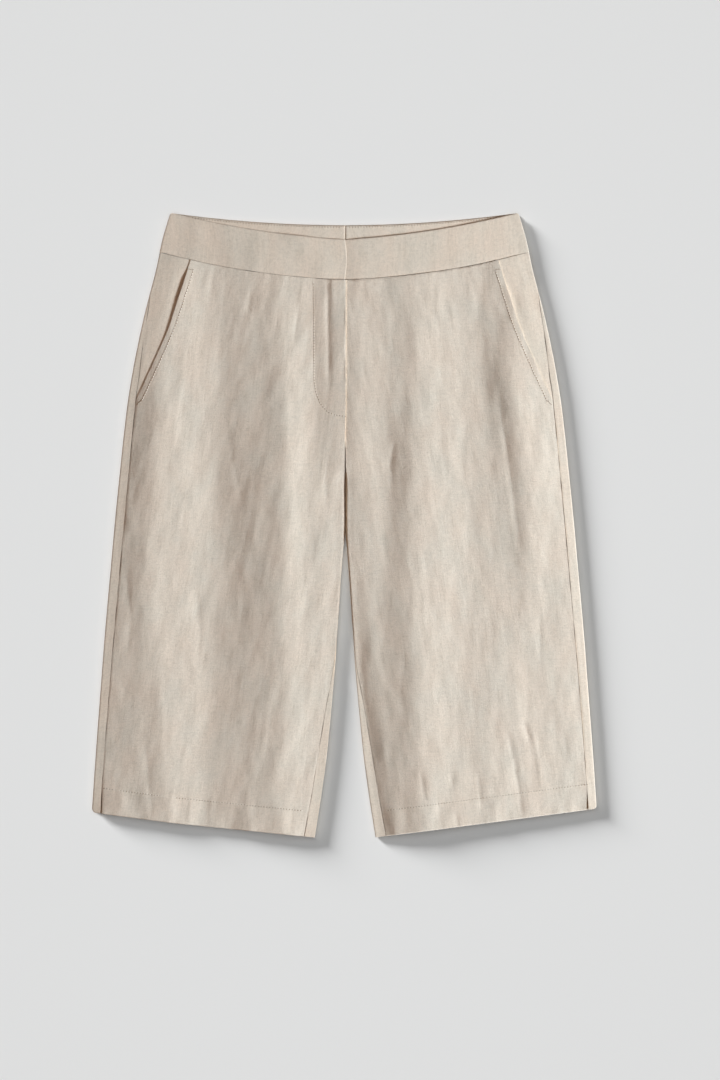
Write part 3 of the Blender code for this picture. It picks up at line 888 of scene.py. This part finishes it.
def mathNode(tree, operation, first, second=None, third=None):
    node = tree.nodes.new("ShaderNodeMath")
    node.operation = operation
    for slot, value in enumerate((first, second, third)):
        if value is None:
            continue
        if isinstance(value, (int, float)):
            node.inputs[slot].default_value = value
        else:
            tree.links.new(value, node.inputs[slot])
    return node.outputs[0]


def plus(tree, first, second):
    return mathNode(tree, "ADD", first, second)


def times(tree, first, second):
    return mathNode(tree, "MULTIPLY", first, second)


def noiseNode(tree, vector, scale, detail=2.0, roughness=0.5):
    node = tree.nodes.new("ShaderNodeTexNoise")
    setInputs(node, Scale=scale, Detail=detail, Roughness=roughness)
    tree.links.new(vector, node.inputs["Vector"])
    return node.outputs["Fac"]


def stretchNode(tree, vector, across, along):
    node = tree.nodes.new("ShaderNodeVectorMath")
    node.operation = "MULTIPLY"
    tree.links.new(vector, node.inputs[0])
    node.inputs[1].default_value = (across, along, 1.0)
    return node.outputs[0]


# Plain weave: threads over and under each other, each a little thick or thin along its run
def makeWeave():
    group, start, end = newGroup("plainWeave", ["Height", "Thread"], threads=1700.0)
    wobble = group.nodes.new("ShaderNodeTexNoise")
    setInputs(wobble, Scale=260, Detail=1)
    group.links.new(start.outputs["Grain"], wobble.inputs["Vector"])
    shift = group.nodes.new("ShaderNodeVectorMath")
    shift.operation = "MULTIPLY_ADD"
    group.links.new(wobble.outputs["Color"], shift.inputs[0])
    shift.inputs[1].default_value = (0.0005, 0.0005, 0.0)
    group.links.new(start.outputs["Grain"], shift.inputs[2])
    parts = group.nodes.new("ShaderNodeSeparateXYZ")
    group.links.new(shift.outputs[0], parts.inputs[0])
    u = times(group, parts.outputs["X"], start.outputs["Threads"])
    v = times(group, parts.outputs["Y"], start.outputs["Threads"])
    across = mathNode(group, "ABSOLUTE", mathNode(group, "SINE", times(group, u, math.pi)))
    along = mathNode(group, "ABSOLUTE", mathNode(group, "SINE", times(group, v, math.pi)))
    squares = plus(group, mathNode(group, "FLOOR", u), mathNode(group, "FLOOR", v))
    over = mathNode(group, "ABSOLUTE", mathNode(group, "MODULO", squares, 2.0))
    warp = times(group, across, mathNode(group, "MULTIPLY_ADD", along, 0.55, 0.45))
    weft = times(group, along, mathNode(group, "MULTIPLY_ADD", across, 0.55, 0.45))
    under = mathNode(group, "SUBTRACT", 1.0, over)
    height = plus(group, times(group, warp, over), times(group, weft, under))
    group.links.new(height, end.inputs["Height"])
    group.links.new(over, end.inputs["Thread"])
    return group


# The loose fibre of the linen: fine, even in every direction
def makeFuzz():
    group, start, end = newGroup("linenFuzz", ["Fuzz"])
    near = noiseNode(group, start.outputs["Grain"], 900, 2, 0.7)
    far = noiseNode(group, start.outputs["Grain"], 330, 2, 0.6)
    group.links.new(plus(group, times(group, near, 0.6), times(group, far, 0.4)), end.inputs["Fuzz"])
    return group


# Thick places in the yarn: short streaks along both thread directions, and a soft mottle
def makeSlub():
    group, start, end = newGroup("linenSlub", ["Along", "Across", "Mottle"])

    def streaks(across, along, detail, roughness):
        stretched = stretchNode(group, start.outputs["Grain"], across, along)
        return noiseNode(group, stretched, 1.0, detail, roughness)

    fine = streaks(620, 60, 3, 0.65)
    broad = streaks(210, 24, 2, 0.55)
    along = plus(group, times(group, fine, 0.6), times(group, broad, 0.4))
    group.links.new(along, end.inputs["Along"])
    group.links.new(streaks(110, 620, 3, 0.65), end.inputs["Across"])
    group.links.new(streaks(34, 20, 3, 0.55), end.inputs["Mottle"])
    return group


weaveGroup = makeWeave()
slubGroup = makeSlub()
fuzzGroup = makeFuzz()


def rampNode(tree, factor, *stops):
    node = tree.nodes.new("ShaderNodeValToRGB")
    while len(node.color_ramp.elements) < len(stops):
        node.color_ramp.elements.new(0.5)
    for element, (place, colour) in zip(node.color_ramp.elements, stops):
        element.position = place
        element.color = (*colour, 1.0)
    tree.links.new(factor, node.inputs["Fac"])
    return node.outputs["Color"]


def multiplyColour(tree, first, second, factor=1.0):
    node = tree.nodes.new("ShaderNodeMix")
    node.data_type = "RGBA"
    node.blend_type = "MULTIPLY"
    node.inputs["Factor"].default_value = factor
    tree.links.new(first, node.inputs["A"])
    tree.links.new(second, node.inputs["B"])
    return node.outputs["Result"]


def newMaterial(name):
    material = bpy.data.materials.new(name)
    material.use_nodes = True
    return material, material.node_tree, material.node_tree.nodes["Principled BSDF"]


def bumpNode(tree, height, shader, **values):
    bump = tree.nodes.new("ShaderNodeBump")
    setInputs(bump, **values)
    tree.links.new(height, bump.inputs["Height"])
    tree.links.new(bump.outputs["Normal"], shader.inputs["Normal"])


linen = {
    "pale": (0.808, 0.680, 0.548),
    "grey": (0.778, 0.668, 0.543),
    "pink": (0.808, 0.666, 0.531),
    "streak": ((0.92, 0.91, 0.895), (1.04, 1.04, 1.045)),  # tints at the low and high end of each effect
    "cross": ((0.97, 0.965, 0.955), (1.01, 1.01, 1.01)),
    # painted shade: the weave's low places darker and its thread tops a little lighter
    "weaveShade": ((0.90, 0.885, 0.87), (1.02, 1.02, 1.02)),
    "fuzz": ((0.88, 0.875, 0.865), (1.09, 1.09, 1.09)),
    "threads": 1700,
    "weaveDepth": 0.00009,
    "slubDepth": 0.00020,
    "roughness": 0.88,
}
plain = (1.0, 1.0, 1.0)


def makeLinen(name, look):
    material, tree, shader = newMaterial(name)
    grainUv = tree.nodes.new("ShaderNodeUVMap")
    grainUv.uv_map = "grain"

    def groupNode(group):
        node = tree.nodes.new("ShaderNodeGroup")
        node.node_tree = group
        tree.links.new(grainUv.outputs["UV"], node.inputs["Grain"])
        return node.outputs, node.inputs

    def tint(factor, ends, low, middle, high):
        return rampNode(tree, factor, (low, ends[0]), (middle, plain), (high, ends[1]))

    weave, weaveInputs = groupNode(weaveGroup)
    weaveInputs["Threads"].default_value = look["threads"]
    slub, _ = groupNode(slubGroup)
    fuzz, _ = groupNode(fuzzGroup)
    base = rampNode(tree, slub["Mottle"], (0.34, look["grey"]), (0.5, look["pale"]), (0.66, look["pink"]))
    colour = multiplyColour(tree, base, tint(slub["Along"], look["streak"], 0.34, 0.5, 0.66))
    colour = multiplyColour(tree, colour, tint(slub["Across"], look["cross"], 0.3, 0.5, 0.7))
    # painted shade in the weave's low places, a little lighter on the thread tops
    colour = multiplyColour(tree, colour, tint(weave["Height"], look["weaveShade"], 0.0, 0.55, 1.0), 0.8)
    colour = multiplyColour(tree, colour, tint(fuzz["Fuzz"], look["fuzz"], 0.34, 0.5, 0.66))
    tree.links.new(colour, shader.inputs["Base Color"])
    threads = times(tree, weave["Height"], look["weaveDepth"])
    slubs = times(tree, plus(tree, slub["Along"], slub["Across"]), look["slubDepth"])
    bumpNode(tree, plus(tree, threads, slubs), shader, Distance=1.0, Strength=0.7)
    roughness = mathNode(tree, "MULTIPLY_ADD", slub["Along"], 0.12, look["roughness"] - 0.06)
    tree.links.new(roughness, shader.inputs["Roughness"])
    setInputs(shader, Specular_IOR_Level=0.25, Diffuse_Roughness=0.8, Sheen_Weight=0.12, Sheen_Roughness=0.5)
    return material


linenCloth = makeLinen("linenCloth", linen)


# the finish of a thread, also used for the painted shade in the needle holes
def makeThreadOrHoleShade(name, colour, roughness):
    material, tree, shader = newMaterial(name)
    spot = tree.nodes.new("ShaderNodeTexCoord")
    twist = noiseNode(tree, stretchNode(tree, spot.outputs["Object"], 1800, 1800), 1.0, 1)
    tone = rampNode(tree, twist, (0.3, tuple(0.86 * part for part in colour)), (0.7, colour))
    tree.links.new(tone, shader.inputs["Base Color"])
    bumpNode(tree, twist, shader, Distance=0.0001)
    setInputs(shader, Roughness=roughness)
    return material


threadMaterial = makeThreadOrHoleShade("sewingThread", (0.86, 0.79, 0.69), 0.6)
# painted shade: a dark brown finish for the beads that stand for the shade in the needle holes
holeShadeMaterial = makeThreadOrHoleShade("needleHoleShade", (0.33, 0.19, 0.10), 0.95)
print("finishes made")


# The cloth pieces, each with its own place in the weave
grainPlace = {"leg": 700, "back": 400, "hip": 900, "band": 1500}


def legGrain(grid):
    side = np.sign(grid[..., 0].mean())
    across = grid[..., 0] + side * drift["splay"] * grid[..., 1] + side * grainPlace["leg"]
    return np.stack([across, grid[..., 1]], axis=2)


def bandGrain(grid):
    step = np.linalg.norm(np.diff(grid, axis=1), axis=2)
    along = np.concatenate([np.zeros((len(grid), 1)), np.cumsum(step, axis=1)], axis=1)
    up = np.linspace(0, band["height"], len(grid))[:, None] + np.zeros_like(along)
    return np.stack([along + grainPlace["band"], up], axis=2)


def finishPiece(cloth, node):
    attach(cloth, "root")
    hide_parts(node)


for side, wearer in ((-1, "right"), (1, "left")):
    grid = frontGrid(side)
    thickness = wallAt(grid[..., 0], grid[..., 1])
    atPocket = ease(-10, 0, np.abs(grid[..., 0]) - pocketEdge(grid[..., 1]))
    thickness -= 0.2 * atPocket * ease(126, 140, grid[..., 1])  # thinner along the opening
    front = addCloth(f"frontCloth_{wearer}", grid, side, thickness, legGrain(grid), linenCloth)
    grid = backGrid(side)
    thickness = wallAt(grid[..., 0], grid[..., 1])
    weave = legGrain(grid) + grainPlace["back"]
    back = addCloth(f"backCloth_{wearer}", grid, -side, thickness, weave, linenCloth)
    grid = hipGrid(side)
    thickness = np.full(grid.shape[:2], cut["wall"])
    weave = legGrain(grid) + grainPlace["hip"]
    hip = addCloth(f"hipPocketCloth_{wearer}", grid, side, thickness, weave, linenCloth)
    grid = bandGrid(side)
    thickness = bandWall(grid)
    waist = addCloth(f"waistbandCloth_{wearer}", grid, side, thickness, bandGrain(grid), linenCloth)
    finishPiece(back, f"back_{wearer}")
    finishPiece(front, f"front_{wearer}")
    finishPiece(hip, f"hip_pocket_{wearer}")
    finishPiece(waist, f"waistband_{wearer}")


# Sewing
sewing = {
    "pitch": 2.9,
    "tackPitch": 1.1,
    "length": 1.6,
    "thickness": 0.38,
    "proud": 0.06,
    # hole: size of the dark beads of painted shade in the needle holes
    "hole": 1.25,
    "holeProud": 0.04,
    "hemUp": 26.4,        # above the hem's edge
    "hemSpan": (42, 248, 60),  # from, to, and how many points the line has
    "pocketSpan": (262, 128, 40),
    "bandDown": 2.2,      # below the top of the waistband's back
    "bandSpan": (2.5, 172, 50),
}


# Evenly spaced places on a smooth line through the points, and its direction there
def alongPath(points, pitch):
    corners = np.array(points, float)
    reach = lengthAlong(corners)
    steps = np.arange(0, reach[-1], 0.5)
    places = np.arange(pitch / 2, steps[-1], pitch)
    smooth = [calmed(np.interp(steps, reach, corners[:, axis]), 4) for axis in (0, 1)]
    spots = np.stack([np.interp(places, steps, line) for line in smooth], axis=1)
    heading = np.stack([np.interp(places, steps, np.gradient(line)) for line in smooth], axis=1)
    return spots, heading / np.linalg.norm(heading, axis=1, keepdims=True)


def bead(sides, rings):  # a rounded bar one long and one thick
    turns = np.arange(sides) * 2 * math.pi / sides
    ring = np.stack([np.cos(turns), np.sin(turns)], axis=1) / 2
    points = []
    for angle in np.linspace(-math.pi / 2, math.pi / 2, rings):
        width = math.cos(angle) ** 0.5 if math.cos(angle) > 0.01 else 0.05
        points += [(0.5 * math.sin(angle), *(side * width)) for side in ring]
    faces = []
    for r in range(rings - 1):
        for c in range(sides):
            a, b = r * sides + c, r * sides + (c + 1) % sides
            faces.append((a, b, b + sides, a + sides))
    faces += [tuple(range(sides))[::-1], tuple(range((rings - 1) * sides, rings * sides))]
    return np.array(points), faces


beadPoints, beadFaces = bead(6, 5)


def addBeads(name, spots, heading, tops, size, material):
    slope = np.gradient(tops) / np.maximum(np.hypot(*np.gradient(spots, axis=0).T), 1e-6)
    forward = np.stack([heading[:, 0], heading[:, 1], slope], axis=1)
    forward /= np.linalg.norm(forward, axis=1, keepdims=True)
    sideways = np.stack([-heading[:, 1], heading[:, 0], np.zeros(len(heading))], axis=1)
    placed = np.stack([spots[:, 0], spots[:, 1], tops], axis=1)[:, None]
    for axis, direction in enumerate((forward, sideways, np.cross(forward, sideways))):
        placed = placed + beadPoints[None, :, axis:axis + 1] * size[axis] * direction[:, None]
    starts = np.arange(len(spots)) * len(beadPoints)
    faces = [tuple(corner + first for corner in face) for first in starts.tolist() for face in beadFaces]
    mesh = bpy.data.meshes.new(name)
    mesh.from_pydata(placed.reshape(-1, 3) * mm, [], faces)
    mesh.shade_smooth()
    mesh.materials.append(material)
    beads = addObject(name, mesh)
    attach(beads, "root")


# A run of stitches on that face, with dark beads between them as painted shade in the needle holes
def sew(name, points, top, pitch=sewing["pitch"]):
    spots, heading = alongPath(points, pitch)
    rng = np.random.default_rng(len(name))
    spots = spots + heading * rng.uniform(-0.12, 0.12, (len(spots), 1))
    tops = top(spots[:, 0], spots[:, 1]) + sewing["proud"]
    size = (sewing["length"] * pitch / sewing["pitch"], sewing["thickness"], sewing["thickness"])
    addBeads(name, spots, heading, tops, size, threadMaterial)
    # dark beads of painted shade, halfway between the stitches
    spots = spots + heading * pitch / 2
    tops = top(spots[:, 0], spots[:, 1]) + sewing["holeProud"]
    size = (sewing["hole"] * min(1, pitch / 2), sewing["hole"] * 0.7, 0.16)
    addBeads(name + "_holeShade", spots, heading, tops, size, holeShadeMaterial)


for side, wearer in ((-1, "right"), (1, "left")):
    def sewLine(name, points, top, pitch=sewing["pitch"]):
        sew(f"{name}_{wearer}", [(side * x, y) for x, y in points], top, pitch)

    top = leftFrontTop if side > 0 else rightFrontTop
    inset, tack = pocket["stitchInset"], sewing["tackPitch"]
    hemRun = [(x, float(hemBase(side * x)) + sewing["hemUp"]) for x in np.linspace(*sewing["hemSpan"])]
    sewLine("hemStitches", hemRun, top)
    pocketRun = [(float(pocketEdge(y)) - inset, y) for y in np.linspace(*sewing["pocketSpan"])]
    sewLine("pocketStitches", pocketRun, top)
    edge, foot = float(pocketEdge(262)), float(pocketEdge(128)) - inset  # where the bar tacks lie
    sewLine("pocketTackTop", [(edge - 0.8, 262.6), (edge - inset, 261.8)], top, tack)
    sewLine("pocketTackFoot", [(foot - 0.5, 129), (foot + 5.5, 123)], top, tack)
    bandRun = [(x, float(bandBackTop(x)) - sewing["bandDown"]) for x in np.linspace(*sewing["bandSpan"])]
    sewLine("backBandStitches", bandRun, bandInside)
sew("flyStitches", flyStitch, rightFrontTop)
print("sewing done")


# Floor and light
paleFloor = {"colour": (0.80, 0.806, 0.806, 1), "half": 4, "below": 0.0004}  # metres


def makeFloor():
    reach = paleFloor["half"]
    mesh = bpy.data.meshes.new("floor")
    corners = [(-reach, -reach, 0), (reach, -reach, 0), (reach, reach, 0), (-reach, reach, 0)]
    mesh.from_pydata(corners, [], [(0, 1, 2, 3)])
    material, _, shader = newMaterial("paleFloor")
    setInputs(shader, Base_Color=paleFloor["colour"], Roughness=1.0, Specular_IOR_Level=0.0)
    mesh.materials.append(material)
    floor = addObject("floor", mesh)
    floor.location = (0, 0, -paleFloor["below"])
    return floor


floor = makeFloor()


def lit(name, things):
    group = bpy.data.collections.new(name)
    for thing in things:
        group.objects.link(thing)
    return group


def isFront(thing):
    return thing.name.startswith(("front", "fly", "hem", "pocketStitches"))


garment = [thing for thing in bpy.context.scene.objects if thing.type == "MESH" and thing is not floor]
litFront = lit("litFront", [thing for thing in garment if isFront(thing)])
litRest = lit("litRest", [thing for thing in garment if not isFront(thing)])
litCloth = lit("litCloth", garment)
litFloor = lit("litFloor", [floor])

# Lights: distances and sizes in metres, turn is the side that the light comes from, low its height in degrees
cool, warm, white = (0.724, 0.871, 1.0), (1.0, 0.48, 0.153), (1, 1, 1)
sideLights = {
    "frontKey": {"distance": 3.3, "low": 14.6, "turn": -8, "size": 0.86, "power": 440, "on": litFront},
    "restKey": {"distance": 1.8, "low": 36, "turn": -8, "size": 0.6, "power": 53.5, "on": litRest},
    "restBack": {"distance": 2.2, "low": 30, "turn": 172, "size": 0.7, "power": 7, "on": litRest},
}
fills = {
    "clothFill": {"up": 2.2, "size": 3.0, "power": 9.1, "colour": warm, "on": litCloth},
    "floorFill": {"up": 2.4, "size": 4.0, "power": 39.5, "colour": white, "on": litFloor},
}
floorShade = {"power": 7.4, "low": 12.5, "turn": 232, "spread": 17}


def areaLight(name, spot, look, colour):
    light = bpy.data.lights.new(name, "AREA")
    light.shape = "SQUARE"
    light.size = look["size"]
    light.energy = look["power"]
    light.color = colour
    lamp = addObject(name, light)
    lamp.location = spot
    pitch = math.atan2(math.hypot(spot[0], spot[1]), spot[2])
    lamp.rotation_euler = (pitch, 0, math.atan2(spot[1], spot[0]) + math.pi / 2)
    lamp.light_linking.receiver_collection = look["on"]


def floorSun():
    sun = bpy.data.lights.new("floorSun", "SUN")
    sun.energy = floorShade["power"]
    sun.angle = math.radians(floorShade["spread"])
    lamp = addObject("floorSun", sun)
    lamp.rotation_euler = (math.radians(90 - floorShade["low"]), 0, math.radians(floorShade["turn"]))
    lamp.light_linking.receiver_collection = litFloor


for name, look in sideLights.items():
    turn, low = math.radians(look["turn"]), math.radians(look["low"])
    flat = look["distance"] * math.cos(low)
    spot = (flat * math.cos(turn), flat * math.sin(turn), look["distance"] * math.sin(low))
    areaLight(name, spot, look, cool)
for name, look in fills.items():
    areaLight(name, (0, 0, look["up"]), look, look["colour"])
floorSun()
world = bpy.data.worlds.new("studio")
world.use_nodes = True
setInputs(world.node_tree.nodes["Background"], Color=(1.0, 0.97, 0.93, 1), Strength=0.05)
bpy.context.scene.world = world
bpy.context.scene.view_settings.view_transform = "Standard"
print("floor and lights set")
